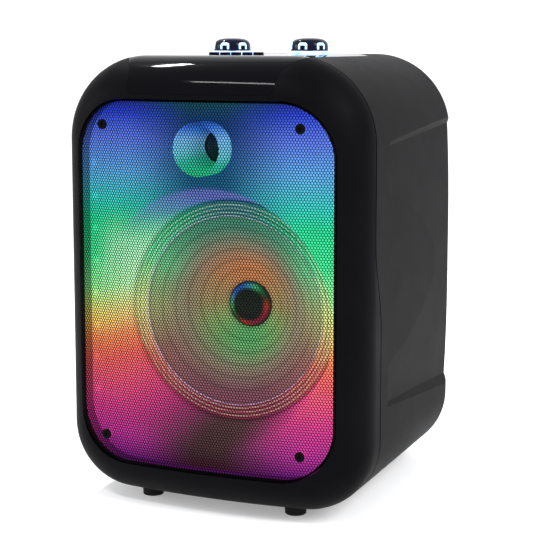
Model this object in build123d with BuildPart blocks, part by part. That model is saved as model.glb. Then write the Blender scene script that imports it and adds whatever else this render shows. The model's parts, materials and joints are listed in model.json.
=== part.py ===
from build123d import *
from math import asin, cos, radians, sin
import os

# Party speaker: an 8 inch portable loudspeaker in a moulded cabinet with a lit front.
# Frame: origin on the floor under the middle of the cabinet, +Z up, front towards -Y. Millimetres.
# Depths are counted back from the foremost point of the bowed front.

os.makedirs("parts", exist_ok=True)

# Cabinet
cabinet_width = 294
cabinet_height = 400
cabinet_depth = 288
foot_height = 8
wall = 4
top_corner = 76
bottom_corner = 62
front_bow = 700
front_rounding = 44
rear_rounding = 24
rear_y = cabinet_depth / 2
front_y = -cabinet_depth / 2
deck_z = foot_height + cabinet_height
middle_z = foot_height + cabinet_height / 2

# S-shaped parting line between the bezel and the cabinet
parting_upper = 48
parting_lower = 64
parting_bend_top = 250
parting_bend_bottom = 168
parting_gap = 1.6
tongue_reach = 9

# Grille opening in the bezel
opening_width = 249
opening_bottom = 41
opening_top = 370.5
opening_corner = 50
rim_thickness = 3
grille_recess = 0.6
grille_thickness = 1.2
grille_edge_radius = 3.5
grille_skirt = 8
grille_clearance = 0.35
grille_screw_x = 94.5
grille_screw_levels = (66.6, 347.6)

# Prisms that cut through everything at the front start at this depth and have this length
prism_depth = 60
prism_length = 80

# Light baffle behind the grille
baffle_setback = 22
baffle_thickness = 3
baffle_margin = 9
strip_x = 117.5
strip_bottom = 92
strip_top = 320
strip_width = 8
strip_thickness = 1.2
led_pitch = 30
led_thickness = 1.4
led_size = 5

# Woofer, on an axis along Y
woofer_z = 174.8
woofer_depth = 78
flange_radius = 101
cone_radius = 86
neck_radius = 18.6
coil_radius = 17.5
magnet_radius = 50
woofer_screw_circle = 98

cap_depth = 115
shelf_depth = 128
plate_depth = 139
magnet_depth = 145
yoke_depth = 163

# Tweeter
tweeter_z = 327.8
horn_mouth_radius = 20.4
horn_throat_radius = 15
horn_front = 3.4
horn_length = 45

# Glossy top panel and what stands on it
panel_thickness = 2.5
panel_bottom_z = 375
panel_foot_half = 70
panel_deck_half = 89
panel_end = 204
deck_window_front = 70
deck_window_rear = 188
deck_window_width = 146
knob_x = 40
knob_depth = 162
knob_radius = 17.8
knob_height = 15.5
light_ring_radius = 20.5
light_ring_height = 3
button_count = 5
button_pitch = 11
button_depth = 84
button_length = 8.4
button_width = 6.4
button_rise = 2.6
button_travel = 0.7
button_clearance = 0.35
button_names = ("mode_button", "previous_button", "play_button", "next_button", "record_button")
window_count = 6
board_z = 392

# Rear panel and its sockets, as heights and sideways places seen from the front
rear_panel_width = 150
rear_panel_height = 92
rear_panel_z = 98
rear_panel_recess = 4
panel_sheet = 3
socket_radius = 5.6
socket_places = {"charging_inlet": (56, 112), "aux_socket": (2, 112), "microphone_socket": (-44, 112)}
socket_bores = {"charging_inlet": 2.75, "aux_socket": 1.8, "microphone_socket": 3.2}
usb_place = (-20, 112)
switch_place = (30, 112)
rocker_tilt = 8
rocker_reach = 5.2
pivot_radius = 1.2
pivot_reach = 6.4
port_z = 222
port_radius = 28
port_length = 88
grip_z = 352
grip_width = 112
grip_height = 38
grip_reach = 30
flange_rebate = 1.5
battery_depth = 207

# Feet
foot_x = 72
foot_radius = 10
front_foot_depth = 52
rear_foot_depth = 244


def at(depth):
    """Y of a plane this far behind the foremost point of the front."""
    return front_y + depth


def facing_front(depth):
    """Plane at a depth, seen from the front: local x along X, local y along Z."""
    return Plane.XZ.offset(-at(depth))


def finish(builder, label):
    """Name a finished piece and write it to its own file."""
    builder.part.label = label
    export_step(builder.part, f"parts/{label}.step")


def body_form(inset):
    """The whole enclosure as a solid, each face moved inwards by inset."""
    with BuildPart() as form:
        with BuildSketch(Plane.XZ.offset(-(rear_y - inset))) as outline:
            with Locations((0, middle_z)):
                Rectangle(cabinet_width - 2 * inset, cabinet_height - 2 * inset)
            fillet(outline.vertices().group_by(Axis.Y)[-1], top_corner - inset)
            fillet(outline.vertices().group_by(Axis.Y)[0], bottom_corner - inset)
        extrude(amount=cabinet_depth - 2 * inset)
        with BuildSketch(Plane.XY):
            with Locations((0, front_y + front_bow)):
                Circle(front_bow - inset)
        extrude(amount=deck_z + 20, mode=Mode.INTERSECT)
        fillet(form.faces().sort_by(Axis.Y)[0].edges(), front_rounding - inset)
        fillet(form.faces().sort_by(Axis.Y)[-1].edges(), rear_rounding - inset)
    return form.part


def bow(setback):
    """Everything behind a bowed surface that follows the front at a setback."""
    with BuildPart() as solid:
        with BuildSketch(Plane.XY):
            with Locations((0, front_y + front_bow)):
                Circle(front_bow - setback)
        extrude(amount=deck_z + 20)
    return solid.part


def opening_prism(margin):
    """Prism through the bezel, the outline of the grille opening widened by margin."""
    height = opening_top - opening_bottom
    with BuildPart() as prism:
        with BuildSketch(facing_front(prism_depth)):
            with Locations((0, opening_bottom + height / 2)):
                RectangleRounded(opening_width + 2 * margin, height + 2 * margin, opening_corner + margin)
        extrude(amount=prism_length)
    return prism.part


def front_zone(offset):
    """Everything in front of the parting line, the line moved back by offset."""
    with BuildPart() as zone:
        with BuildSketch(Plane.YZ):
            with BuildLine():
                high = (at(parting_upper) + offset, parting_bend_top)
                low = (at(parting_lower) + offset, parting_bend_bottom)
                Spline(high, low, tangents=((0, -1), (0, -1)))
                Polyline(low, (low[0], -10), (front_y - 10, -10), (front_y - 10, deck_z + 20),
                         (high[0], deck_z + 20), high)
            make_face()
        extrude(amount=cabinet_width, both=True)
    return zone.part


def turned(points, plane):
    """Solid of revolution: points are (radius, distance along the plane's local y, the axis)."""
    with BuildPart() as solid:
        with BuildSketch(plane):
            with BuildLine():
                Polyline(*points, close=True)
            make_face()
        revolve(axis=Axis(plane.origin, plane.y_dir))
    return solid.part


def speaker_plane(z):
    """Plane for turned pieces on an axis along Y: local x is the radius, local y the depth."""
    return Plane(origin=(0, front_y, z), x_dir=(1, 0, 0), z_dir=(0, 0, 1))


def upright_plane(x, depth, z):
    """Plane for turned pieces on an upright axis: local x is the radius, local y the height."""
    return Plane(origin=(x, at(depth), z), x_dir=(1, 0, 0), z_dir=(0, -1, 0))


def dome_shell(base_radius, rise, thickness, base_depth, axis_plane):
    """Thin spherical dome that bulges towards the front from a base circle."""
    sphere = (base_radius**2 + rise**2) / (2 * rise)
    centre = base_depth - rise + sphere
    edge_angle = asin(base_radius / sphere)
    inside = sphere - thickness
    inner_radius = (inside**2 - (centre - base_depth) ** 2) ** 0.5
    inner_angle = asin(inner_radius / inside)
    with BuildPart() as shell:
        with BuildSketch(axis_plane):
            with BuildLine():
                Line((base_radius, base_depth), (inner_radius, base_depth))
                ThreePointArc(
                    (inner_radius, base_depth),
                    (inside * sin(inner_angle / 2), centre - inside * cos(inner_angle / 2)),
                    (0, centre - inside),
                )
                Line((0, centre - inside), (0, centre - sphere))
                ThreePointArc(
                    (0, centre - sphere),
                    (sphere * sin(edge_angle / 2), centre - sphere * cos(edge_angle / 2)),
                    (base_radius, base_depth),
                )
            make_face()
        revolve(axis=Axis(axis_plane.origin, axis_plane.y_dir))
    return shell.part


def scoop_profile(depth, top_z, bottom_z, side):
    """Outline of a side scoop at one depth: a ledge at the top and bottom, a bowed floor between."""
    ledge_rise = 12
    ledge_drop = 11
    top = (side - 6.5, top_z)
    middle = (side - 1.2, (top_z + bottom_z) / 2)
    bottom = (side - 6, bottom_z)
    with BuildSketch(facing_front(depth)) as profile:
        with BuildLine():
            ThreePointArc(top, middle, bottom)
            Polyline(bottom, (side + 1, bottom_z - ledge_drop), (side + 14, bottom_z - ledge_drop),
                     (side + 14, top_z + ledge_rise), (side + 1, top_z + ledge_rise), top)
        make_face()
    return profile.sketch


def side_scoops(inset):
    """The hollows in both flanks, moved inwards; they deepen towards the back."""
    side = cabinet_width / 2 - inset
    with BuildPart() as scoops:
        loft([
            scoop_profile(84, 329, 101, side + 3.5).face(),
            scoop_profile(cabinet_depth + 6, 341, 85, side).face(),
        ])
        mirror(about=Plane.YZ)
    return scoops.part


def panel_prism(clearance):
    """Prism along Y with the outline of the glossy panel, seen from the front, cut off at its end."""
    foot = panel_foot_half + clearance
    deck = panel_deck_half + clearance
    low = panel_bottom_z - clearance
    corner = 7
    with BuildPart() as prism:
        with BuildSketch(facing_front(panel_end + clearance)) as outline:
            with BuildLine():
                right = Spline((foot, low + 8), (deck, deck_z), tangents=((0, 1), (1, 0.45)))
                Polyline(right @ 1, (deck, deck_z + 10), (-deck, deck_z + 10), (-deck, deck_z))
                Spline((-deck, deck_z), (-foot, low + 8), tangents=((1, -0.45), (0, -1)))
                Polyline((-foot, low + 8), (-foot, low), (foot, low), (foot, low + 8))
            make_face()
            fillet(outline.vertices().group_by(Axis.Y)[0], corner)
        extrude(amount=panel_end + 20)
        with BuildSketch(Plane.XY) as plan:
            with Locations((0, at((panel_end - 20) / 2))):
                Rectangle(2 * deck, panel_end + 20 + 2 * clearance)
            fillet(plan.vertices().group_by(Axis.Y)[-1], 18)
        extrude(amount=deck_z + 20, mode=Mode.INTERSECT)
    return prism.part


def opening_rim():
    """The wall that runs back from the edge of the grille opening to the light baffle."""
    with BuildPart() as rim:
        add(opening_prism(rim_thickness))
        add(outer_form, mode=Mode.INTERSECT)
        add(bow(baffle_setback), mode=Mode.SUBTRACT)
        add(opening_prism(0), mode=Mode.SUBTRACT)
    return rim.part


def cavity_form():
    """The space inside the cabinet walls, kept a wall away from the side scoops."""
    with BuildPart() as cavity:
        add(inner_form)
        add(side_scoops(wall), mode=Mode.SUBTRACT)
    return cavity.part


def locating_tongue():
    """The lip on the cabinet that reaches forwards inside the bezel and closes the parting gap."""
    with BuildPart() as tongue:
        add(body_form(wall - 0.1))
        add(body_form(wall + 2.4), mode=Mode.SUBTRACT)
        add(front_zone(parting_gap + 8), mode=Mode.INTERSECT)
        add(front_zone(-tongue_reach), mode=Mode.SUBTRACT)
        add(bezel_clearance, mode=Mode.SUBTRACT)
    return tongue.part


def bezel_clearance_form():
    """Space that the tongue leaves free for the bezel's wall."""
    with BuildPart() as space:
        add(outer_form)
        add(body_form(wall + 0.3), mode=Mode.SUBTRACT)
        add(front_zone(parting_gap), mode=Mode.INTERSECT)
    return space.part


def panel_skin(thickness, clearance):
    """The outer skin of the enclosure under the glossy panel's outline."""
    with BuildPart() as skin:
        add(outer_form)
        add(body_form(thickness), mode=Mode.SUBTRACT)
        add(panel_prism(clearance), mode=Mode.INTERSECT)
    return skin.part


def grille_form(inset):
    """Solid of the formed grille, its front edge rounded over, each face moved inwards by inset."""
    with BuildPart() as form:
        add(opening_prism(-grille_clearance - inset))
        add(bow(grille_recess + inset), mode=Mode.INTERSECT)
        fillet(form.faces().sort_by(Axis.Y)[0].edges(), grille_edge_radius - inset)
    return form.part


def grille_posts():
    """Posts from the baffle to the back of the grille, under its screws."""
    with BuildPart() as posts:
        with BuildSketch(facing_front(prism_depth)):
            with Locations(*grille_screw_places):
                Circle(4.2)
        extrude(amount=prism_length)
        add(bow(grille_recess + grille_thickness + 0.1), mode=Mode.INTERSECT)
        add(bow(baffle_setback + 1), mode=Mode.SUBTRACT)
    return posts.part


def knob_dome(x):
    """Solid dome of a knob, a short skirt with a rounded crown."""
    skirt_top = light_ring_height + 3.6
    with BuildPart() as dome:
        with BuildSketch(upright_plane(x, knob_depth, deck_z)):
            with BuildLine():
                low = (knob_radius, light_ring_height + 0.4)
                shoulder = (knob_radius, skirt_top)
                crown = (0, knob_height)
                Line((0, low[1]), low)
                Line(low, shoulder)
                Spline(shoulder, crown, tangents=((0, 1), (-1, 0)))
                Line(crown, (0, low[1]))
            make_face()
        revolve(axis=Axis((x, at(knob_depth), 0), (0, 0, 1)))
    return dome.part


def knob_windows(x):
    """Arched light windows let into the crown of a knob, evenly round it."""
    with BuildPart() as windows:
        add(knob_dome(x))
        add(turned([
            (0, 0), (knob_radius - 2.4, 0), (knob_radius - 2.4, light_ring_height + 4),
            (knob_radius - 5.4, knob_height - 4.4), (0, knob_height - 3),
        ], upright_plane(x, knob_depth, deck_z)), mode=Mode.SUBTRACT)
        add(arch_prisms(x), mode=Mode.INTERSECT)
    return windows.part


def arch_prisms(x):
    """Arch outlines extruded outwards from a knob's axis."""
    with BuildPart() as arches:
        for index in range(window_count):
            outward = Plane((x, at(knob_depth), deck_z + 4.4)).rotated((0, 0, index * 360 / window_count))
            upright = Plane(outward.origin, x_dir=outward.x_dir, z_dir=-outward.y_dir)
            with BuildSketch(upright):
                with Locations((0, 2.6)):
                    RectangleRounded(9, 8, 2.6)
                with Locations((0, 1)):
                    Rectangle(5, 6.4, mode=Mode.SUBTRACT)
                with Locations((0, -2)):
                    Rectangle(12, 5, mode=Mode.SUBTRACT)
            extrude(amount=knob_radius + 2)
    return arches.part


outer_form = body_form(0)
inner_form = body_form(wall)
bezel_clearance = bezel_clearance_form()
deck_under = deck_z - panel_thickness
button_places = [(index - (button_count - 1) / 2) * button_pitch for index in range(button_count)]
knob_places = {"volume": -knob_x, "microphone": knob_x}
foot_places = {
    "front_left": (-foot_x, front_foot_depth),
    "front_right": (foot_x, front_foot_depth),
    "rear_left": (-foot_x, rear_foot_depth),
    "rear_right": (foot_x, rear_foot_depth),
}
grille_screw_places = [(side * grille_screw_x, z) for side in (-1, 1) for z in grille_screw_levels]
woofer_plane = speaker_plane(woofer_z)
tweeter_plane = speaker_plane(tweeter_z)
well_floor_radius = flange_radius + 1
well_mouth_radius = well_floor_radius + 21.3
led_count = int((strip_top - strip_bottom) / led_pitch) + 1
led_levels = [(strip_bottom + strip_top) / 2 + (index - (led_count - 1) / 2) * led_pitch
              for index in range(led_count)]
tweeter_back = horn_front + horn_length
board_middle_depth = (button_depth + knob_depth) / 2
switch_top = board_z + 7.5
floor_z = foot_height + wall + 0.1
panel_outside = cabinet_depth - rear_panel_recess
amplifier_depth = panel_outside - panel_sheet - 24
rear_screw_places = [(column * (rear_panel_width / 2 - 5), rear_panel_z + row * (rear_panel_height / 2 - 5))
                     for column in (-1, 0, 1) for row in (-1, 1)]
switch_plane_origin = (switch_place[0], at(panel_outside - 1.6), switch_place[1])
pivot_plane = Plane(origin=switch_plane_origin, x_dir=(0, 0, 1), z_dir=(-1, 0, 0))
rocker_upright = (0, sin(radians(rocker_tilt)), cos(radians(rocker_tilt)))
rocker_plane = Plane(origin=switch_plane_origin, x_dir=rocker_upright, z_dir=(-1, 0, 0))

# ---------------------------------------------------------------- enclosure

with BuildPart() as front_bezel:
    add(outer_form)
    add(inner_form, mode=Mode.SUBTRACT)
    add(front_zone(0), mode=Mode.INTERSECT)
    add(opening_rim())
    add(opening_prism(0), mode=Mode.SUBTRACT)
    add(panel_skin(panel_thickness + 0.1, 0.2), mode=Mode.SUBTRACT)
    # screw holes for the front feet
    with BuildSketch(Plane.XY.offset(foot_height - 1)):
        with Locations(*[(side * foot_x, at(front_foot_depth)) for side in (-1, 1)]):
            Circle(2)
    extrude(amount=10, mode=Mode.SUBTRACT)
finish(front_bezel, "front_bezel")

with BuildPart() as cabinet_shell:
    add(outer_form)
    add(side_scoops(0), mode=Mode.SUBTRACT)
    add(cavity_form(), mode=Mode.SUBTRACT)
    add(front_zone(parting_gap), mode=Mode.SUBTRACT)
    add(locating_tongue())
    add(panel_skin(panel_thickness + 0.1, 0.2), mode=Mode.SUBTRACT)
    # window in the deck for the controls under the panel
    with BuildSketch(Plane.XY.offset(deck_z - 20)):
        with Locations((0, at((deck_window_front + deck_window_rear) / 2))):
            RectangleRounded(deck_window_width, deck_window_rear - deck_window_front, 8)
    extrude(amount=30, mode=Mode.SUBTRACT)
    # pocket that the rear panel sits in
    with BuildSketch(facing_front(cabinet_depth - 14)):
        with Locations((0, rear_panel_z)):
            RectangleRounded(rear_panel_width + 8, rear_panel_height + 8, 7)
    extrude(amount=-11)
    with BuildSketch(facing_front(cabinet_depth + 2)):
        with Locations((0, rear_panel_z)):
            RectangleRounded(rear_panel_width + 0.6, rear_panel_height + 0.6, 4)
    extrude(amount=rear_panel_recess + panel_sheet + 2, mode=Mode.SUBTRACT)
    with BuildSketch(facing_front(cabinet_depth + 2)):
        with Locations((0, rear_panel_z)):
            RectangleRounded(rear_panel_width - 20, rear_panel_height - 20, 4)
    extrude(amount=20, mode=Mode.SUBTRACT)
    # screw holes for the rear panel
    with BuildSketch(facing_front(cabinet_depth + 2)):
        with Locations(*rear_screw_places):
            Circle(1.55)
    extrude(amount=20, mode=Mode.SUBTRACT)
    # openings for the port tube and the carrying grip, with rebates for their flanges
    with BuildSketch(facing_front(cabinet_depth + 2)):
        with Locations((0, port_z)):
            Circle(port_radius + 2.8)
        with Locations((0, grip_z)):
            RectangleRounded(grip_width + 5, grip_height + 5, 16)
    extrude(amount=20, mode=Mode.SUBTRACT)
    with BuildSketch(facing_front(cabinet_depth - flange_rebate)):
        with Locations((0, port_z)):
            Circle(port_radius + 7.3)
        with Locations((0, grip_z)):
            RectangleRounded(grip_width + 12.6, grip_height + 12.6, 19.3)
    extrude(amount=-10, mode=Mode.SUBTRACT)
    # screw holes for the feet
    with BuildSketch(Plane.XY.offset(foot_height - 1)):
        with Locations(*[(side * foot_x, at(rear_foot_depth)) for side in (-1, 1)]):
            Circle(2)
    extrude(amount=10, mode=Mode.SUBTRACT)
finish(cabinet_shell, "cabinet_shell")

with BuildPart() as top_panel:
    add(panel_skin(panel_thickness, 0))
    with BuildSketch(Plane.XY.offset(deck_z + 5)):
        with Locations(*[(x, at(button_depth)) for x in button_places]):
            RectangleRounded(button_length + 2 * button_clearance, button_width + 2 * button_clearance, 1.6)
        with Locations(*[(x, at(knob_depth)) for x in knob_places.values()]):
            Circle(3.7)
    extrude(amount=-20, mode=Mode.SUBTRACT)
    # posts that carry the control board
    with BuildSketch(Plane.XY.offset(board_z + 1.6)):
        with Locations((0, at(board_middle_depth))):
            with GridLocations(120, 92, 2, 2):
                Circle(3.2)
    extrude(amount=deck_under - board_z - 1.6)
    with BuildSketch(Plane.XY.offset(board_z + 1.6)):
        with Locations((0, at(board_middle_depth))):
            with GridLocations(120, 92, 2, 2):
                Circle(1.3)
    extrude(amount=8.4, mode=Mode.SUBTRACT)
finish(top_panel, "top_panel")

# ---------------------------------------------------------------- grille and light baffle

with BuildPart() as front_grille:
    add(grille_form(0))
    add(grille_form(grille_thickness), mode=Mode.SUBTRACT)
    add(bow(grille_skirt), mode=Mode.SUBTRACT)
    with BuildSketch(facing_front(prism_depth)):
        with Locations(*grille_screw_places):
            Circle(2.1)
    extrude(amount=prism_length, mode=Mode.SUBTRACT)
finish(front_grille, "front_grille")

screw_sag = front_bow - (front_bow**2 - grille_screw_x**2) ** 0.5
grille_screw_depth = grille_recess + screw_sag
with BuildPart() as grille_screws:
    with BuildSketch(facing_front(grille_screw_depth - 0.95)):
        with Locations(*grille_screw_places):
            Circle(4.6)
    extrude(amount=1.8)
    fillet(grille_screws.faces().sort_by(Axis.Y)[0:4].edges(), 1)
    with BuildSketch(facing_front(grille_screw_depth - 2.75)):
        with Locations(*grille_screw_places):
            Rectangle(4.2, 1)
            Rectangle(1, 4.2)
    extrude(amount=-1.2, mode=Mode.SUBTRACT)
    with BuildSketch(facing_front(grille_screw_depth - 0.95)):
        with Locations(*grille_screw_places):
            Circle(1.6)
    extrude(amount=-15)
finish(grille_screws, "grille_screws")

with BuildPart() as light_baffle:
    # the bowed plate, and the flared well around the woofer with the ledge for its flange
    add(opening_prism(baffle_margin))
    add(bow(baffle_setback + baffle_thickness), mode=Mode.SUBTRACT)
    add(turned([
        (well_mouth_radius + 3, 0), (well_floor_radius + 3, woofer_depth + 3),
        (92, woofer_depth + 3), (92, woofer_depth), (0, woofer_depth), (0, 0),
    ], woofer_plane))
    add(bow(baffle_setback), mode=Mode.INTERSECT)
    add(turned([
        (well_mouth_radius, 0), (well_floor_radius, woofer_depth), (0, woofer_depth), (0, 0),
    ], woofer_plane), mode=Mode.SUBTRACT)
    add(grille_posts())
    with BuildSketch(facing_front(prism_depth)):
        with Locations(*grille_screw_places):
            Circle(1.7)
        with Locations((0, tweeter_z)):
            Circle(horn_mouth_radius + 3.4)
    extrude(amount=prism_length, mode=Mode.SUBTRACT)
    with BuildSketch(facing_front(woofer_depth + 5)):
        with Locations((0, woofer_z)):
            with PolarLocations(woofer_screw_circle, 8):
                Circle(1.8)
    extrude(amount=8, mode=Mode.SUBTRACT)
finish(light_baffle, "light_baffle")

for side, name in ((-1, "left"), (1, "right")):
    with BuildPart() as light_strip:
        with BuildSketch(facing_front(prism_depth)):
            with Locations((side * strip_x, (strip_bottom + strip_top) / 2)):
                Rectangle(strip_width, strip_top - strip_bottom)
        extrude(amount=prism_length)
        add(bow(baffle_setback - strip_thickness), mode=Mode.INTERSECT)
        add(bow(baffle_setback), mode=Mode.SUBTRACT)
    finish(light_strip, f"light_strip_{name}")

with BuildPart() as strip_leds:
    with BuildSketch(facing_front(prism_depth)):
        with Locations(*[(side * strip_x, z) for side in (-1, 1) for z in led_levels]):
            Rectangle(led_size, led_size)
    extrude(amount=prism_length)
    add(bow(baffle_setback - strip_thickness - led_thickness), mode=Mode.INTERSECT)
    add(bow(baffle_setback - strip_thickness), mode=Mode.SUBTRACT)
finish(strip_leds, "strip_leds")

# ---------------------------------------------------------------- woofer

with BuildPart() as woofer_basket:
    add(turned([
        (flange_radius, woofer_depth - 1.6), (flange_radius, woofer_depth),
        (91, woofer_depth), (52, shelf_depth), (52, plate_depth - 1.6), (52, plate_depth),
        (24, plate_depth), (24, plate_depth - 1.6), (50.4, plate_depth - 1.6),
        (50.4, shelf_depth + 1.5), (44, shelf_depth + 1.5), (44, shelf_depth), (50.4, shelf_depth),
        (cone_radius + 4.4, woofer_depth - 1.6),
    ], woofer_plane))
    # windows between the spokes
    with BuildSketch(facing_front(shelf_depth - 4)):
        with Locations((0, woofer_z)):
            with PolarLocations(72, 8):
                SlotOverall(30, 24, rotation=90)
    extrude(amount=34, mode=Mode.SUBTRACT)
    with BuildSketch(facing_front(woofer_depth + 5)):
        with Locations((0, woofer_z)):
            with PolarLocations(woofer_screw_circle, 8):
                Circle(2)
    extrude(amount=20, mode=Mode.SUBTRACT)
finish(woofer_basket, "woofer_basket")

with BuildPart() as woofer_gasket:
    add(turned([
        (flange_radius, woofer_depth - 3.6), (flange_radius, woofer_depth - 1.7),
        (94.5, woofer_depth - 1.7), (94.5, woofer_depth - 3.6),
    ], woofer_plane))
    with BuildSketch(facing_front(woofer_depth)):
        with Locations((0, woofer_z)):
            with PolarLocations(woofer_screw_circle, 8):
                Circle(3.4)
    extrude(amount=20, mode=Mode.SUBTRACT)
finish(woofer_gasket, "woofer_gasket")

with BuildPart() as woofer_screws:
    with BuildSketch(facing_front(woofer_depth - 1.7)):
        with Locations((0, woofer_z)):
            with PolarLocations(woofer_screw_circle, 8):
                Circle(3.1)
    extrude(amount=2)
    with BuildSketch(facing_front(woofer_depth - 1.7)):
        with Locations((0, woofer_z)):
            with PolarLocations(woofer_screw_circle, 8):
                Circle(1.7)
    extrude(amount=-10)
finish(woofer_screws, "woofer_screws")

with BuildPart() as woofer_surround:
    # two concentric half rolls between the gasket and the cone's edge
    roll = 2.6
    with BuildSketch(woofer_plane) as rolls:
        with Locations((cone_radius + 1.4 + roll, woofer_depth - 2), (94.3 - roll, woofer_depth - 2)):
            Circle(roll)
            Circle(roll - 0.7, mode=Mode.SUBTRACT)
        with Locations((cone_radius + 4, woofer_depth - 2 + roll)):
            Rectangle(20, 2 * roll, mode=Mode.SUBTRACT)
    revolve(axis=Axis(woofer_plane.origin, woofer_plane.y_dir))
finish(woofer_surround, "woofer_surround")

with BuildPart() as woofer_cone:
    add(turned([
        (cone_radius + 1.3, woofer_depth - 2), (cone_radius + 1.3, woofer_depth - 1.2),
        (cone_radius - 1.2, woofer_depth - 0.6), (52, woofer_depth + 22), (neck_radius + 0.1, cap_depth + 4),
        (neck_radius + 0.1, cap_depth + 2.8), (52, woofer_depth + 20.9), (cone_radius - 1.6, woofer_depth - 2),
    ], woofer_plane))
finish(woofer_cone, "woofer_cone")

with BuildPart() as dust_cap:
    add(dome_shell(22, 8.6, 0.8, cap_depth - 0.4, woofer_plane))
finish(dust_cap, "dust_cap")

with BuildPart() as voice_coil:
    add(turned([
        (coil_radius + 0.3, cap_depth), (coil_radius + 0.3, plate_depth - 1), (coil_radius + 1, plate_depth - 1),
        (coil_radius + 1, magnet_depth + 3), (coil_radius, magnet_depth + 3), (coil_radius, cap_depth),
    ], woofer_plane))
finish(voice_coil, "voice_coil")

with BuildPart() as spider:
    corrugation = 1.5
    inner_edge = coil_radius + 0.5
    crest_count = 5
    crest_step = (44.5 - inner_edge) / (2 * crest_count)
    crests = [(inner_edge + index * crest_step, shelf_depth - 2.5 + corrugation * (-1) ** index)
              for index in range(2 * crest_count + 1)]
    add(turned(crests + [(radius, depth + 0.6) for radius, depth in reversed(crests)], woofer_plane))
finish(spider, "spider")

with BuildPart() as woofer_top_plate:
    add(turned([
        (coil_radius + 2, plate_depth + 0.1), (coil_radius + 2, magnet_depth),
        (46, magnet_depth), (46, plate_depth + 0.1),
    ], woofer_plane))
finish(woofer_top_plate, "woofer_top_plate")

with BuildPart() as woofer_magnet:
    add(turned([
        (26, magnet_depth), (26, yoke_depth), (magnet_radius, yoke_depth), (magnet_radius, magnet_depth),
    ], woofer_plane))
    fillet(woofer_magnet.edges().filter_by(GeomType.CIRCLE).sort_by(SortBy.RADIUS)[-2:], 1)
finish(woofer_magnet, "woofer_magnet")

with BuildPart() as woofer_yoke:
    add(turned([
        (5, plate_depth - 1), (5, yoke_depth + 6), (46, yoke_depth + 6), (46, yoke_depth),
        (coil_radius - 0.7, yoke_depth), (coil_radius - 0.7, plate_depth - 1),
    ], woofer_plane))
finish(woofer_yoke, "woofer_yoke")

# ---------------------------------------------------------------- tweeter

with BuildPart() as tweeter_horn:
    add(turned([
        (horn_mouth_radius, horn_front), (horn_mouth_radius + 1, horn_front - 0.6),
        (horn_mouth_radius + 3.2, horn_front), (horn_mouth_radius + 3.2, baffle_setback + 12),
        (horn_throat_radius + 2, horn_front + horn_length), (horn_throat_radius, horn_front + horn_length),
    ], tweeter_plane))
    # collar that the driver screws to
    add(turned([
        (horn_throat_radius, horn_front + horn_length - 3), (horn_throat_radius, horn_front + horn_length),
        (27, horn_front + horn_length), (27, horn_front + horn_length - 3),
    ], tweeter_plane))
finish(tweeter_horn, "tweeter_horn")

with BuildPart() as tweeter_diaphragm:
    add(dome_shell(13, 5, 0.5, tweeter_back + 0.2, tweeter_plane))
finish(tweeter_diaphragm, "tweeter_diaphragm")

with BuildPart() as tweeter_driver:
    add(turned([
        (0, tweeter_back + 0.4), (0, tweeter_back + 22), (25, tweeter_back + 22), (25, tweeter_back + 6),
        (27, tweeter_back + 6), (27, tweeter_back + 0.4),
    ], tweeter_plane))
finish(tweeter_driver, "tweeter_driver")

# ---------------------------------------------------------------- controls on the deck

for name, x in knob_places.items():
    base = upright_plane(x, knob_depth, deck_z)
    with BuildPart() as light_ring:
        add(turned([
            (4.2, 0), (light_ring_radius, 0), (light_ring_radius, light_ring_height - 0.8),
            (light_ring_radius - 0.8, light_ring_height), (4.2, light_ring_height),
        ], base))
    finish(light_ring, f"{name}_light_ring")

    with BuildPart() as knob:
        add(knob_dome(x))
        add(knob_windows(x), mode=Mode.SUBTRACT)
        add(turned([
            (0, -10), (3.05, -10), (3.05, knob_height - 3.5), (0, knob_height - 3.5),
        ], base), mode=Mode.SUBTRACT)
    finish(knob, f"{name}_knob")

    with BuildPart() as windows:
        add(knob_windows(x))
    finish(windows, f"{name}_knob_windows")

    with BuildPart() as shaft:
        add(turned([
            (0, board_z + 3 - deck_z), (3, board_z + 3 - deck_z), (3, knob_height - 3.6), (0, knob_height - 3.6),
        ], base))
    finish(shaft, f"{name}_shaft")

    with BuildPart() as encoder:
        with BuildSketch(Plane.XY.offset(board_z + 1.7)):
            with Locations((x, at(knob_depth))):
                RectangleRounded(14, 14, 1)
        extrude(amount=deck_under - 0.2 - board_z - 1.7)
        add(turned([
            (0, -8), (3.5, -8), (3.5, 2.4), (0, 2.4),
        ], base))
        add(turned([
            (0, board_z + 2.8 - deck_z), (3.05, board_z + 2.8 - deck_z), (3.05, 5), (0, 5),
        ], base), mode=Mode.SUBTRACT)
    finish(encoder, f"{name}_encoder")

for name, x in zip(button_names, button_places):
    with BuildPart() as button:
        with BuildSketch(Plane.XY.offset(deck_under - 0.2)):
            with Locations((x, at(button_depth))):
                RectangleRounded(button_length, button_width, 1.3)
        extrude(amount=panel_thickness + 0.2 + button_rise)
        fillet(button.faces().sort_by(Axis.Z)[-1].edges(), 0.7)
        with BuildSketch(Plane.XY.offset(deck_under - 1.4)):
            with Locations((x, at(button_depth))):
                RectangleRounded(button_length + 1.6, button_width + 2, 1)
        extrude(amount=1.2)
        with BuildSketch(Plane.XY.offset(switch_top + button_travel + 0.15)):
            with Locations((x, at(button_depth))):
                Rectangle(3, 3)
        extrude(amount=deck_under - 1.4 - switch_top - button_travel - 0.15)
    finish(button, name)

with BuildPart() as key_switches:
    with BuildSketch(Plane.XY.offset(board_z + 1.7)):
        with Locations(*[(x, at(button_depth)) for x in button_places]):
            RectangleRounded(6, 6, 0.6)
    extrude(amount=3.4)
    with BuildSketch(Plane.XY.offset(board_z + 5)):
        with Locations(*[(x, at(button_depth)) for x in button_places]):
            Circle(1.7)
    extrude(amount=switch_top - board_z - 5)
finish(key_switches, "key_switches")

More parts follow.
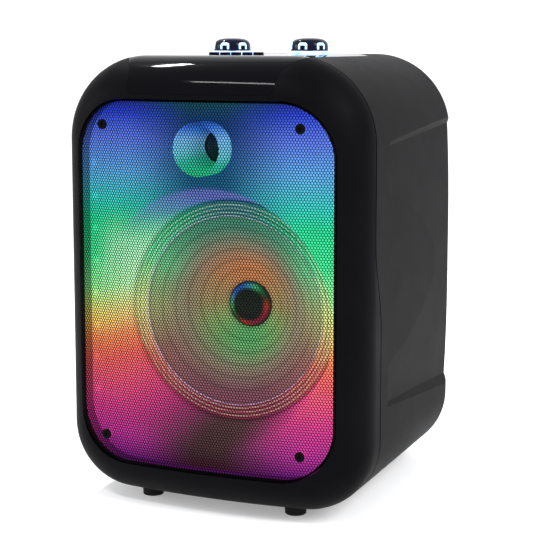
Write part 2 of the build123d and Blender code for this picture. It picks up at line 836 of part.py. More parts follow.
with BuildPart() as control_board:
    with BuildSketch(Plane.XY.offset(board_z)):
        with Locations((0, at(board_middle_depth))):
            RectangleRounded(130, 102, 3)
            with GridLocations(120, 92, 2, 2):
                Circle(1.4, mode=Mode.SUBTRACT)
    extrude(amount=1.6)
finish(control_board, "control_board")

with BuildPart() as control_board_screws:
    with BuildSketch(Plane.XY.offset(board_z - 0.1)):
        with Locations((0, at(board_middle_depth))):
            with GridLocations(120, 92, 2, 2):
                Circle(2.6)
    extrude(amount=-1.8)
    with BuildSketch(Plane.XY.offset(board_z - 0.1)):
        with Locations((0, at(board_middle_depth))):
            with GridLocations(120, 92, 2, 2):
                Circle(1.2)
    extrude(amount=8)
finish(control_board_screws, "control_board_screws")

# ---------------------------------------------------------------- rear panel and electronics

with BuildPart() as rear_panel:
    with BuildSketch(facing_front(panel_outside - panel_sheet)) as plate:
        with Locations((0, rear_panel_z)):
            RectangleRounded(rear_panel_width, rear_panel_height, 3.7)
        with Locations(*rear_screw_places):
            Circle(1.7, mode=Mode.SUBTRACT)
        with Locations(*socket_places.values()):
            Circle(socket_radius + 0.15, mode=Mode.SUBTRACT)
        with Locations(usb_place):
            Rectangle(14.3, 7.3, mode=Mode.SUBTRACT)
        with Locations(switch_place):
            Rectangle(14.3, 20.3, mode=Mode.SUBTRACT)
    extrude(amount=-panel_sheet)
    # moulded bosses that carry the amplifier board
    with BuildSketch(facing_front(panel_outside - panel_sheet)):
        with Locations((0, rear_panel_z)):
            with GridLocations(112, 54, 2, 2):
                Circle(3)
    extrude(amount=panel_outside - panel_sheet - amplifier_depth - 0.1)
finish(rear_panel, "rear_panel")

with BuildPart() as rear_panel_screws:
    with BuildSketch(facing_front(panel_outside + 0.1)):
        with Locations(*rear_screw_places):
            Circle(2.9)
    extrude(amount=-1.9)
    with BuildSketch(facing_front(panel_outside + 0.8)):
        with Locations(*rear_screw_places):
            Rectangle(3, 0.7)
            Rectangle(0.7, 3)
    extrude(amount=-1.5, mode=Mode.SUBTRACT)
    with BuildSketch(facing_front(panel_outside + 0.1)):
        with Locations(*rear_screw_places):
            Circle(1.4)
    extrude(amount=9)
finish(rear_panel_screws, "rear_panel_screws")

for name, (x, z) in socket_places.items():
    bore = socket_bores[name]
    with BuildPart() as socket:
        with BuildSketch(facing_front(panel_outside + 1.8)):
            with Locations((x, z)):
                Circle(socket_radius)
        extrude(amount=17.8)
        with BuildSketch(facing_front(panel_outside + 0.1)):
            with Locations((x, z)):
                RegularPolygon(socket_radius + 1.6, 6) if bore > 2 else Circle(socket_radius + 1.2)
        extrude(amount=-1.7)
        with BuildSketch(facing_front(panel_outside + 4)):
            with Locations((x, z)):
                Circle(bore)
        extrude(amount=4 + 14, mode=Mode.SUBTRACT)
        if name == "charging_inlet":
            with BuildSketch(facing_front(panel_outside - 14.5)):
                with Locations((x, z)):
                    Circle(1)
            extrude(amount=-12)
    finish(socket, name)

with BuildPart() as usb_socket:
    with BuildSketch(facing_front(panel_outside + 0.3)):
        with Locations(usb_place):
            Rectangle(14, 7)
    extrude(amount=15)
    with BuildSketch(facing_front(panel_outside + 1)):
        with Locations(usb_place):
            Rectangle(12.6, 5.6)
    extrude(amount=14, mode=Mode.SUBTRACT)
    with BuildSketch(facing_front(panel_outside - 2)):
        with Locations((usb_place[0], usb_place[1] + 1.4)):
            Rectangle(11.4, 1.9)
    extrude(amount=12)
finish(usb_socket, "usb_socket")

with BuildPart() as power_switch:
    with BuildSketch(facing_front(panel_outside + 0.1)):
        with Locations(switch_place):
            Rectangle(14, 20)
    extrude(amount=14)
    with BuildSketch(facing_front(panel_outside + 0.1)):
        with Locations(switch_place):
            RectangleRounded(17, 23, 2)
    extrude(amount=-1.9)
    with BuildSketch(facing_front(panel_outside + 4)):
        with Locations(switch_place):
            Rectangle(11.2, 17.8)
    extrude(amount=4 + 11, mode=Mode.SUBTRACT)
    # blind holes for the pivot pins of the rocker
    with BuildSketch(pivot_plane):
        Circle(pivot_radius + 0.1)
    extrude(amount=pivot_reach + 0.1, both=True, mode=Mode.SUBTRACT)
finish(power_switch, "power_switch")

with BuildPart() as power_rocker:
    with BuildSketch(rocker_plane):
        with BuildLine():
            Polyline((-7.8, 3), (-7, 4.2), (0, 2.7), (7, 4.2), (7.8, 3), (5.6, -3), (-5.6, -3), close=True)
        make_face()
    extrude(amount=rocker_reach, both=True)
    with BuildSketch(pivot_plane):
        Circle(pivot_radius)
    extrude(amount=pivot_reach, both=True)
finish(power_rocker, "power_rocker")

with BuildPart() as amplifier_board:
    with BuildSketch(facing_front(amplifier_depth)):
        with Locations((0, rear_panel_z)):
            RectangleRounded(122, 64, 2)
            with GridLocations(112, 54, 2, 2):
                Circle(1.6, mode=Mode.SUBTRACT)
    extrude(amount=1.6)
    # storage capacitors soldered to the board
    with BuildSketch(facing_front(amplifier_depth - 1.6)):
        with Locations((-30, rear_panel_z - 12), (-12, rear_panel_z - 12), (8, rear_panel_z - 14)):
            Circle(6)
    extrude(amount=20)
finish(amplifier_board, "amplifier_board")

with BuildPart() as heat_sink:
    with BuildSketch(facing_front(amplifier_depth - 1.7)):
        with Locations((36, rear_panel_z + 6)):
            Rectangle(40, 34)
    extrude(amount=4)
    with BuildSketch(facing_front(amplifier_depth - 5)):
        with Locations((36, rear_panel_z + 6)):
            with GridLocations(6, 0, 7, 1):
                Rectangle(1.6, 34)
    extrude(amount=14)
finish(heat_sink, "heat_sink")

battery_size = (96, 60, 42)
with BuildPart() as battery_pack:
    with BuildSketch(Plane.XY.offset(foot_height + wall + 0.2)):
        with Locations((0, at(battery_depth))):
            RectangleRounded(battery_size[0], battery_size[1], 5)
    extrude(amount=battery_size[2])
    fillet(battery_pack.faces().sort_by(Axis.Z)[-1].edges(), 3)
finish(battery_pack, "battery_pack")

with BuildPart() as battery_bracket:
    reach = battery_size[2] + 0.8
    with BuildSketch(Plane.XZ.offset(-at(battery_depth - 12))):
        with BuildLine():
            Polyline(
                (-70, floor_z), (-51, floor_z), (-51, floor_z + reach), (51, floor_z + reach), (51, floor_z),
                (70, floor_z), (70, floor_z + 2), (53, floor_z + 2), (53, floor_z + reach + 2),
                (-53, floor_z + reach + 2), (-53, floor_z + 2), (-70, floor_z + 2), close=True,
            )
        make_face()
    extrude(amount=-24)
finish(battery_bracket, "battery_bracket")

with BuildPart() as port_tube:
    add(turned([
        (port_radius, cabinet_depth - port_length), (port_radius, cabinet_depth - 6),
        (port_radius + 1.2, cabinet_depth - 2), (port_radius + 4, cabinet_depth - 0.1),
        (port_radius + 7, cabinet_depth - 0.1), (port_radius + 7, cabinet_depth - 1.4),
        (port_radius + 2.5, cabinet_depth - 1.4), (port_radius + 2.5, cabinet_depth - port_length),
    ], speaker_plane(port_z)))
finish(port_tube, "port_tube")

with BuildPart() as carry_grip:
    with BuildSketch(facing_front(cabinet_depth - grip_reach)):
        with Locations((0, grip_z)):
            RectangleRounded(grip_width + 4.4, grip_height + 4.4, 15)
    extrude(amount=0.1 - grip_reach)
    with BuildSketch(facing_front(cabinet_depth - 0.1)):
        with Locations((0, grip_z)):
            RectangleRounded(grip_width + 12, grip_height + 12, 19)
    extrude(amount=1.3)
    with BuildSketch(facing_front(cabinet_depth + 3)):
        with Locations((0, grip_z)):
            RectangleRounded(grip_width, grip_height, 13)
    extrude(amount=grip_reach + 1, mode=Mode.SUBTRACT)
finish(carry_grip, "carry_grip")

# ---------------------------------------------------------------- feet

for name, (x, depth) in foot_places.items():
    foot_base = upright_plane(x, depth, 0)
    with BuildPart() as foot:
        add(turned([
            (0, 0), (foot_radius - 1, 0), (foot_radius - 0.4, 0.6), (foot_radius, foot_height),
            (2.2, foot_height), (2.2, 4.6), (4.2, 4.6), (4.2, 1.6), (0, 1.6),
        ], foot_base))
    finish(foot, f"foot_{name}")

with BuildPart() as foot_screws:
    for x, depth in foot_places.values():
        add(turned([
            (0, 2.2), (3.6, 2.2), (3.6, 4.5), (1.8, 4.5), (1.8, foot_height + 9), (0, foot_height + 9),
        ], upright_plane(x, depth, 0)))
finish(foot_screws, "foot_screws")
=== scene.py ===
import json
import math

import bmesh
import bpy
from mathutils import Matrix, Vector


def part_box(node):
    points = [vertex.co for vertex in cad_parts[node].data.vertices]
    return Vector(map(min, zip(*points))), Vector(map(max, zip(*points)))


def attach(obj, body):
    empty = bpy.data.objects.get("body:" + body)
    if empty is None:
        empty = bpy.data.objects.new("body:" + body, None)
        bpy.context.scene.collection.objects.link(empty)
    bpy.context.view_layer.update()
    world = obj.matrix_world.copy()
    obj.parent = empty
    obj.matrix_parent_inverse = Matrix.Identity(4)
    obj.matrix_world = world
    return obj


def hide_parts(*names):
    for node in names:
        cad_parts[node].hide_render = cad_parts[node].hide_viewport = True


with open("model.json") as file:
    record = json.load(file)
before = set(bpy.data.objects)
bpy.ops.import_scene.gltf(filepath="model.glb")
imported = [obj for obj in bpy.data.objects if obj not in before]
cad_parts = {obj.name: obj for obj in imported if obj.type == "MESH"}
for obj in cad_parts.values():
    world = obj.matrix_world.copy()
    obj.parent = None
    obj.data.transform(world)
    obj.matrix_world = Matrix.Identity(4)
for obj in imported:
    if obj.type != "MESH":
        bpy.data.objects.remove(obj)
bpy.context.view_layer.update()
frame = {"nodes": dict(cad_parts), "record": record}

# ---------------------------------------------------------------- places taken from the frame, in metres

MM = 0.001
FRONT_BOW = 0.6994                      # radius of the bowed grille, seen from above
GRILLE_LOW, GRILLE_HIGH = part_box("front_grille")
FRONT_Y = GRILLE_LOW.y                  # foremost point of the grille
WOOFER_LOW, WOOFER_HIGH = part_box("woofer_gasket")
WOOFER_Z = (WOOFER_LOW.z + WOOFER_HIGH.z) / 2
WOOFER_Y = WOOFER_LOW.y                 # front of the ring on the woofer's flange
HORN_LOW, HORN_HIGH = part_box("tweeter_horn")
TWEETER_Z = (HORN_LOW.z + HORN_HIGH.z) / 2


def srgb(red, green, blue):
    """Colour from 0-255 screen values to Blender's linear values."""
    def linear(value):
        value /= 255
        return value / 12.92 if value <= 0.04045 else ((value + 0.055) / 1.055) ** 2.4
    return (linear(red), linear(green), linear(blue), 1.0)


# ---------------------------------------------------------------- material helpers

class Nodes:
    """A small wrapper that keeps node set-up readable."""

    def __init__(self, name):
        self.material = bpy.data.materials.new(name)
        self.material.use_nodes = True
        self.tree = self.material.node_tree
        self.shader = self.tree.nodes["Principled BSDF"]
        self.coords = self.add("ShaderNodeTexCoord")

    def add(self, kind, **settings):
        node = self.tree.nodes.new(kind)
        for key, value in settings.items():
            setattr(node, key, value)
        return node

    def link(self, source, target):
        self.tree.links.new(source, target)

    def position(self):
        """X, Y and Z sockets of the place on the object, in metres."""
        split = self.add("ShaderNodeSeparateXYZ")
        self.link(self.coords.outputs["Object"], split.inputs[0])
        return split.outputs

    def math(self, operation, first, second=None):
        node = self.add("ShaderNodeMath", operation=operation)
        for socket, value in zip(node.inputs, (first, second)):
            if value is None:
                continue
            if isinstance(value, (int, float)):
                socket.default_value = value
            else:
                self.link(value, socket)
        return node.outputs[0]

    def span(self, value, low, high, smooth=True):
        """0 below low, 1 above high."""
        node = self.add("ShaderNodeMapRange", interpolation_type="SMOOTHSTEP" if smooth else "LINEAR")
        self.link(value, node.inputs["Value"])
        node.inputs["From Min"].default_value = low
        node.inputs["From Max"].default_value = high
        return node.outputs["Result"]

    def ramp(self, value, stops):
        """Colour ramp over stops of (position, colour)."""
        node = self.add("ShaderNodeValToRGB")
        elements = node.color_ramp.elements
        while len(elements) < len(stops):
            elements.new(0.5)
        for element, (position, colour) in zip(elements, stops):
            element.position = position
            element.color = colour
        self.link(value, node.inputs[0])
        return node.outputs["Color"]

    def mix(self, factor, first, second, blend="MIX"):
        node = self.add("ShaderNodeMix", data_type="RGBA", blend_type=blend)
        factor_socket, first_socket, second_socket = node.inputs[0], node.inputs[6], node.inputs[7]
        for socket, value in ((factor_socket, factor), (first_socket, first), (second_socket, second)):
            if isinstance(value, (int, float, tuple)):
                socket.default_value = value
            else:
                self.link(value, socket)
        return node.outputs[2]

    def noise(self, scale, detail=3.0, roughness=0.5, stretch=None):
        node = self.add("ShaderNodeTexNoise")
        node.inputs["Scale"].default_value = scale
        node.inputs["Detail"].default_value = detail
        node.inputs["Roughness"].default_value = roughness
        source = self.coords.outputs["Object"]
        if stretch:
            mapping = self.add("ShaderNodeMapping")
            mapping.inputs["Scale"].default_value = stretch
            self.link(source, mapping.inputs["Vector"])
            source = mapping.outputs[0]
        self.link(source, node.inputs["Vector"])
        return node.outputs["Fac"]

    def bump(self, height, strength, distance):
        node = self.add("ShaderNodeBump")
        node.inputs["Strength"].default_value = strength
        node.inputs["Distance"].default_value = distance
        self.link(height, node.inputs["Height"])
        self.link(node.outputs[0], self.shader.inputs["Normal"])

    def set(self, **values):
        names = {
            "metal": "Metallic", "rough": "Roughness", "specular": "Specular IOR Level", "coat": "Coat Weight",
            "coat_rough": "Coat Roughness", "strength": "Emission Strength",
        }
        for key, value in values.items():
            self.shader.inputs[names[key]].default_value = value


def varied_colour(nodes, colour, spread, scale):
    """Base colour with a gentle cloudy variation, so that no surface is one flat colour."""
    darker = tuple(channel * (1 - spread) for channel in colour[:3]) + (1.0,)
    lighter = tuple(min(1.0, channel * (1 + spread)) for channel in colour[:3]) + (1.0,)
    nodes.link(nodes.ramp(nodes.noise(scale, 4), [(0.3, darker), (0.7, lighter)]),
               nodes.shader.inputs["Base Color"])


def rough_range(nodes, low, high, scale):
    ramp = nodes.ramp(nodes.noise(scale, 5, 0.6), [(0.3, (low,) * 3 + (1,)), (0.7, (high,) * 3 + (1,))])
    nodes.link(ramp, nodes.shader.inputs["Roughness"])


def moulded_plastic(name, colour, rough=(0.45, 0.6), specular=0.25, grain=9000, depth=0.00004, spread=0.12):
    """Moulded plastic with the fine spark-eroded grain of a tool's surface."""
    nodes = Nodes(name)
    varied_colour(nodes, colour, spread, 22)
    rough_range(nodes, rough[0], rough[1], 35)
    nodes.set(specular=specular)
    nodes.bump(nodes.noise(grain, 2, 0.6), 0.35, depth)
    return nodes.material


def gloss_plastic(name, colour, rough=0.06, specular=0.4, coat=0.0):
    nodes = Nodes(name)
    varied_colour(nodes, colour, 0.15, 12)
    rough_range(nodes, rough * 0.7, rough * 1.4, 60)
    nodes.set(specular=specular, coat=coat, coat_rough=0.03)
    nodes.bump(nodes.noise(18, 2), 0.03, 0.0006)
    return nodes.material


def plain_metal(name, colour, rough=(0.25, 0.4), stretch=None):
    nodes = Nodes(name)
    varied_colour(nodes, colour, 0.1, 40)
    rough_range(nodes, rough[0], rough[1], 120)
    nodes.set(metal=1.0)
    nodes.bump(nodes.noise(900, 3, 0.6, stretch), 0.15, 0.00003)
    return nodes.material


def cloth_like(name, colour, pitch):
    """Woven cloth: two crossed waves for warp and weft."""
    nodes = Nodes(name)
    varied_colour(nodes, colour, 0.2, 60)
    x, _, z = nodes.position()
    wave_one = nodes.math("SINE", nodes.math("MULTIPLY", x, math.tau / pitch))
    wave_two = nodes.math("SINE", nodes.math("MULTIPLY", z, math.tau / pitch))
    nodes.set(rough=0.85, specular=0.2)
    nodes.bump(nodes.math("MULTIPLY", wave_one, wave_two), 0.5, 0.0002)
    return nodes.material


def lit_window(name, colour, core, strength):
    """Frosted light-coloured window with light behind it, brighter in patches."""
    nodes = Nodes(name)
    glow = nodes.ramp(nodes.noise(160, 2), [(0.3, colour), (0.7, core)])
    nodes.link(glow, nodes.shader.inputs["Emission Color"])
    nodes.link(glow, nodes.shader.inputs["Base Color"])
    nodes.set(rough=0.35, strength=strength)
    return nodes.material


# ---------------------------------------------------------------- the colours of the light show, painted as glow on the pieces it lights

def height_share(nodes, z):
    """0 at the bottom of the grille opening, 1 at its top."""
    return nodes.span(z, GRILLE_LOW.z, GRILLE_HIGH.z, smooth=False)


def edge_light(nodes, share):
    """Colours beside the light strips, which run through the spectrum from the bottom to the top."""
    return nodes.ramp(share, [
        (0.00, srgb(100, 24, 112)), (0.06, srgb(172, 46, 140)), (0.14, srgb(204, 60, 132)),
        (0.20, srgb(222, 78, 118)), (0.27, srgb(232, 98, 92)), (0.33, srgb(236, 136, 84)),
        (0.38, srgb(226, 190, 95)), (0.43, srgb(190, 215, 118)), (0.47, srgb(140, 228, 140)),
        (0.56, srgb(62, 214, 136)), (0.66, srgb(34, 202, 136)), (0.72, srgb(48, 188, 175)),
        (0.80, srgb(84, 156, 210)), (0.89, srgb(84, 112, 214)), (0.96, srgb(36, 60, 190)),
        (1.00, srgb(22, 26, 120)),
    ])


def middle_light(nodes, share):
    """Dimmer colours on the middle of the baffle, away from the strips."""
    return nodes.ramp(share, [
        (0.00, srgb(54, 18, 32)), (0.04, srgb(60, 36, 42)), (0.09, srgb(76, 51, 53)),
        (0.15, srgb(96, 44, 60)), (0.30, srgb(170, 60, 70)), (0.45, srgb(140, 140, 80)),
        (0.62, srgb(30, 140, 105)), (0.72, srgb(22, 90, 130)), (0.78, srgb(10, 78, 112)),
        (0.88, srgb(12, 56, 108)), (0.94, srgb(10, 48, 96)), (0.975, srgb(10, 58, 84)),
        (1.00, srgb(10, 72, 66)),
    ])


def from_axis(nodes, height):
    """Radius from an axis along Y, and how far right and up the place lies, each as a share of it."""
    x, _, z = nodes.position()
    up = nodes.math("SUBTRACT", z, height)
    radius = nodes.math("SQRT", nodes.math("ADD", nodes.math("POWER", x, 2), nodes.math("POWER", up, 2)))
    return radius, nodes.math("DIVIDE", x, radius), nodes.math("DIVIDE", up, radius)


def band(nodes, value, low, high, soft):
    """1 between low and high, falling to 0 over a soft edge."""
    rise = nodes.span(value, low - soft, low + soft)
    fall = nodes.span(value, high - soft, high + soft)
    return nodes.math("MULTIPLY", rise, nodes.math("SUBTRACT", 1.0, fall))


# The violet arc is painted light; the ring where the well meets the woofer is painted shade.
PAINTED_ARC_RADII = (0.103, 0.117)                  # radii of the violet arc above the woofer
WELL_EDGE = (0.099, 0.103)              # radii of the shaded ring where the well meets the woofer


def baffle_glow(nodes):
    """Painted light on the baffle at each place, with a painted pale hot spot on the left, a painted violet arc
    above the woofer and a painted shaded ring at the well's edge.
    """
    x, _, z = nodes.position()
    sideways = nodes.math("ABSOLUTE", x)
    share = height_share(nodes, z)
    near_side = nodes.span(sideways, 0.010, 0.090)
    colour = nodes.mix(near_side, middle_light(nodes, share), edge_light(nodes, share))
    # Painted pool of pale light on the left of the baffle.
    left = band(nodes, x, -0.106, -0.050, 0.016)
    painted_hot_spot = nodes.math("MULTIPLY", left, band(nodes, share, 0.38, 0.62, 0.09))
    colour = nodes.mix(nodes.math("MULTIPLY", painted_hot_spot, 0.42), colour, srgb(235, 245, 225))
    radius, _, up = from_axis(nodes, WOOFER_Z)
    # Painted violet arc of light above the woofer.
    painted_arc = nodes.math("MULTIPLY", band(nodes, radius, *PAINTED_ARC_RADII, 0.003), nodes.span(up, 0.55, 0.95))
    colour = nodes.mix(nodes.math("MULTIPLY", painted_arc, 0.5), colour, srgb(112, 96, 200))
    shade = nodes.math("MULTIPLY", band(nodes, radius, *WELL_EDGE, 0.0015), 0.5)
    return nodes.mix(shade, colour, (0.0, 0.0, 0.0, 1.0))


def horn_glow(nodes):
    """Painted light on the horn's mouth: pale blue on its left wall and green below, darkened by painted shade
    deeper in.
    """
    _, _, up = from_axis(nodes, TWEETER_Z)
    colour = nodes.ramp(nodes.span(up, -1.0, 1.0, smooth=False), [
        (0.00, srgb(24, 165, 110)), (0.20, srgb(40, 165, 140)), (0.40, srgb(90, 175, 190)),
        (0.70, srgb(105, 165, 215)), (0.92, srgb(50, 105, 195)), (1.00, srgb(25, 70, 150)),
    ])
    _, y, _ = nodes.position()
    # Painted shade, darker deeper into the horn.
    painted_throat_shade = nodes.span(y, HORN_LOW.y + 0.004, HORN_HIGH.y)
    return nodes.mix(nodes.math("MULTIPLY", painted_throat_shade, 0.45), colour, srgb(8, 30, 60))


GLOW = 1.7                              # makes up for the share of light that the grille's webs stop
UNLIT = srgb(26, 26, 28)                # what the lit pieces add of the room's light


def lit_plastic(name, colour_of, strength=GLOW):
    """Diffusing plastic that glows in the colours of the light show; on the baffle, horn, cone, surround, gasket and
    plain screws this glow is painted light, standing in for the strips' light falling on them.
    """
    nodes = Nodes(name)
    glow = colour_of(nodes)
    cloud = nodes.ramp(nodes.noise(45, 3), [(0.3, (0.9,) * 3 + (1,)), (0.7, (1.0,) * 3 + (1,))])
    nodes.link(nodes.mix(1.0, glow, cloud, "MULTIPLY"), nodes.shader.inputs["Emission Color"])
    varied_colour(nodes, UNLIT, 0.08, 18)
    nodes.set(rough=0.5, specular=0.15, strength=strength)
    nodes.bump(nodes.noise(5000, 2), 0.2, 0.00005)
    return nodes.material


# ---------------------------------------------------------------- mesh helpers

def make_object(name, vertices, faces, material, body, replaced=(), sharp=35):
    """A mesh piece in the frame, shaded smooth except at its sharp edges."""
    mesh = bpy.data.meshes.new(name)
    mesh.from_pydata(vertices, [], faces)
    mesh.validate()
    cleaner = bmesh.new()
    cleaner.from_mesh(mesh)
    bmesh.ops.recalc_face_normals(cleaner, faces=cleaner.faces)
    cleaner.to_mesh(mesh)
    cleaner.free()
    mesh.shade_smooth()
    mesh.set_sharp_from_angle(angle=math.radians(sharp))
    mesh.materials.append(material)
    piece = bpy.data.objects.new(name, mesh)
    bpy.context.scene.collection.objects.link(piece)
    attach(piece, body)
    if replaced:
        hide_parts(*replaced)
    return piece


def lathe(profile, height, segments=192):
    """Vertices and faces of a closed outline of (radius, Y) turned about the axis along Y at a height."""
    vertices = []
    for index in range(segments):
        angle = math.tau * index / segments
        for radius, y in profile:
            vertices.append((radius * math.cos(angle), y, height + radius * math.sin(angle)))
    count = len(profile)
    faces = []
    for index in range(segments):
        here, after = index * count, (index + 1) % segments * count
        for point in range(count):
            following = (point + 1) % count
            faces.append((here + point, here + following, after + following, after + point))
    return vertices, faces


def bowed(x, z, setback):
    """Point on a surface that follows the bowed front at a setback behind it."""
    radius = FRONT_BOW - setback
    return (x, FRONT_Y + FRONT_BOW - math.sqrt(radius * radius - x * x), z)


# ---------------------------------------------------------------- perforated grille

GRILLE_SETBACK = 0.0001                 # keeps the sheet inside the CAD grille
SHEET = 0.0012                          # thickness
HOLE_PITCH = 0.00262
HOLE_SHARE = 0.80                       # width of a hole as a share of the pitch
BORDER = 0.0014                         # plain edge without holes
EDGE_RADIUS = 0.0035                    # roll at the edge
SKIRT = 0.0070                          # how far the rolled edge reaches back
GRILLE_CORNER = 0.0497

SCREW_LOW, SCREW_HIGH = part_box("grille_screws")
SCREW_RADIUS = 0.0046
SCREW_X = SCREW_HIGH.x - SCREW_RADIUS
SCREW_LEVELS = (SCREW_LOW.z + SCREW_RADIUS, SCREW_HIGH.z - SCREW_RADIUS)
PLAIN_ROUND_SCREW = 0.0042              # no hole has its centre nearer than this to a screw's axis


def edge_distance(x, z):
    """Distance of a place on the grille from its rounded outline."""
    half = GRILLE_HIGH.x
    tall = (GRILLE_HIGH.z - GRILLE_LOW.z) / 2
    height = abs(z - (GRILLE_HIGH.z + GRILLE_LOW.z) / 2)
    across = abs(x) - (half - GRILLE_CORNER)
    up = height - (tall - GRILLE_CORNER)
    if across > 0.0 and up > 0.0:
        return GRILLE_CORNER - math.hypot(across, up)
    return min(half - abs(x), tall - height)


def roll_depth(distance):
    """How far the rolled edge has fallen back at a distance from the outline."""
    reach = min(max(EDGE_RADIUS - distance, 0.0), EDGE_RADIUS)
    return EDGE_RADIUS - math.sqrt(EDGE_RADIUS**2 - reach**2)


def perforated_half(side):
    """Closed mesh of one half of the perforated sheet: webs between holes on a triangular lattice."""
    row_step = HOLE_PITCH * math.sqrt(3) / 2
    rows = int((GRILLE_HIGH.z - GRILLE_LOW.z) / row_step) + 2
    columns = int(GRILLE_HIGH.x / HOLE_PITCH) + 2
    corner_radius = HOLE_PITCH / math.sqrt(3)
    screws = [(sx * SCREW_X, sz) for sx in (-1, 1) for sz in SCREW_LEVELS]
    cells = {}
    for row in range(rows):
        for column in range(-columns, columns + 1):
            x = (column + 0.5 * (row % 2) + 0.25) * HOLE_PITCH
            z = GRILLE_LOW.z + row * row_step
            if (x > 0) != (side > 0) or edge_distance(x, z) < BORDER + 0.0002:
                continue
            if any(math.hypot(x - sx, z - sz) < PLAIN_ROUND_SCREW for sx, sz in screws):
                continue
            cells[row, column] = (x, z)
    vertices, faces, corners, holes = [], [], {}, {}

    def corner_key(x, z):
        return round(x / HOLE_PITCH * 6), round(z / HOLE_PITCH * 12)

    def add_vertex(x, z, depth):
        vertices.append(bowed(x, z, GRILLE_SETBACK + depth + roll_depth(edge_distance(x, z))))
        return len(vertices) - 1

    sharing = {}
    for cell, (x, z) in cells.items():
        hole = []
        for turn in range(6):
            angle = math.radians(30 + 60 * turn)
            cx, cz = x + corner_radius * math.cos(angle), z + corner_radius * math.sin(angle)
            key = corner_key(cx, cz)
            if key not in corners:
                corners[key] = (add_vertex(cx, cz, SHEET), cx, cz)
            hx = x + HOLE_SHARE * corner_radius * math.cos(angle)
            hz = z + HOLE_SHARE * corner_radius * math.sin(angle)
            hole.append((add_vertex(hx, hz, 0.0), key))
            sharing.setdefault(key, []).append(hole[-1][0])
        holes[cell] = hole
    front_corner = {}

    def front_vertex(key):
        if key not in front_corner:
            front_corner[key] = add_vertex(corners[key][1], corners[key][2], 0.0)
        return front_corner[key]

    edges = {}
    for cell, hole in holes.items():
        for turn in range(6):
            (first, first_key), (second, second_key) = hole[turn], hole[(turn + 1) % 6]
            faces.append((first, second, corners[second_key][0], corners[first_key][0]))
            edges.setdefault(frozenset((first_key, second_key)), []).append(
                ((first, first_key), (second, second_key)))
    for users in edges.values():
        (first, first_key), (second, second_key) = users[0]
        if len(users) == 2:
            (other_first, _), (other_second, _) = users[1]
            faces.append((first, second, other_first, other_second))
        else:
            near, far = front_vertex(first_key), front_vertex(second_key)
            faces.append((first, second, far, near))
            faces.append((near, far, corners[second_key][0], corners[first_key][0]))
    for key, users in sharing.items():
        if len(users) == 3:
            faces.append(tuple(users))
        elif len(users) == 2:
            faces.append((users[0], users[1], front_vertex(key)))
    return vertices, faces


def outline_points(margin, steps=20):
    """Rounded outline of the grille moved inwards, as (x, z) pairs."""
    half = GRILLE_HIGH.x - margin
    middle = (GRILLE_HIGH.z + GRILLE_LOW.z) / 2
    tall = (GRILLE_HIGH.z - GRILLE_LOW.z) / 2 - margin
    corner = GRILLE_CORNER - margin
    points = []
    for index, (sx, sz) in enumerate(((1, 1), (-1, 1), (-1, -1), (1, -1))):
        for step in range(steps + 1):
            angle = math.radians(90 * index + 90 * step / steps)
            points.append((sx * (half - corner) + corner * math.cos(angle),
                           middle + sz * (tall - corner) + corner * math.sin(angle)))
        following = ((-1, 1), (-1, -1), (1, -1), (1, 1))[index]
        end_angle = math.radians(90 * (index + 1))
        end = (following[0] * (half - corner) + corner * math.cos(end_angle),
               middle + following[1] * (tall - corner) + corner * math.sin(end_angle))
        start = points[-1]
        for part in range(1, 12):
            share = part / 12
            points.append((start[0] + (end[0] - start[0]) * share, start[1] + (end[1] - start[1]) * share))
    return points


def grille_border():
    """Plain border of the sheet with a rolled outer edge."""
    inner_radius = EDGE_RADIUS - SHEET
    start = math.asin((EDGE_RADIUS - BORDER) / EDGE_RADIUS)
    turns = [start + (math.pi / 2 - start) * step / 6 for step in range(7)]
    outside = [(EDGE_RADIUS - EDGE_RADIUS * math.sin(angle), EDGE_RADIUS - EDGE_RADIUS * math.cos(angle))
               for angle in turns]
    inside = [(EDGE_RADIUS - inner_radius * math.sin(angle), EDGE_RADIUS - inner_radius * math.cos(angle))
              for angle in reversed(turns)]
    rings = outside + [(0.0, SKIRT), (SHEET, SKIRT)] + inside
    loops = [[bowed(x, z, GRILLE_SETBACK + depth) for x, z in outline_points(margin)] for margin, depth in rings]
    count = len(loops[0])
    vertices = [point for loop in loops for point in loop]
    faces = []
    for ring in range(len(loops)):
        after = (ring + 1) % len(loops)
        for index in range(count):
            following = (index + 1) % count
            faces.append((ring * count + index, ring * count + following,
                          after * count + following, after * count + index))
    return vertices, faces


grille_paint = moulded_plastic("grille_paint", srgb(5, 5, 6), (0.5, 0.65), 0.02, 6000, 0.00002)
for side, name in ((-1, "grille_sheet_left"), (1, "grille_sheet_right")):
    sheet_vertices, sheet_faces = perforated_half(side)
    make_object(name, sheet_vertices, sheet_faces, grille_paint, "enclosure",
                ("front_grille",), sharp=20)
border_vertices, border_faces = grille_border()
make_object("grille_border", border_vertices, border_faces, grille_paint, "enclosure")


# ---------------------------------------------------------------- woofer front

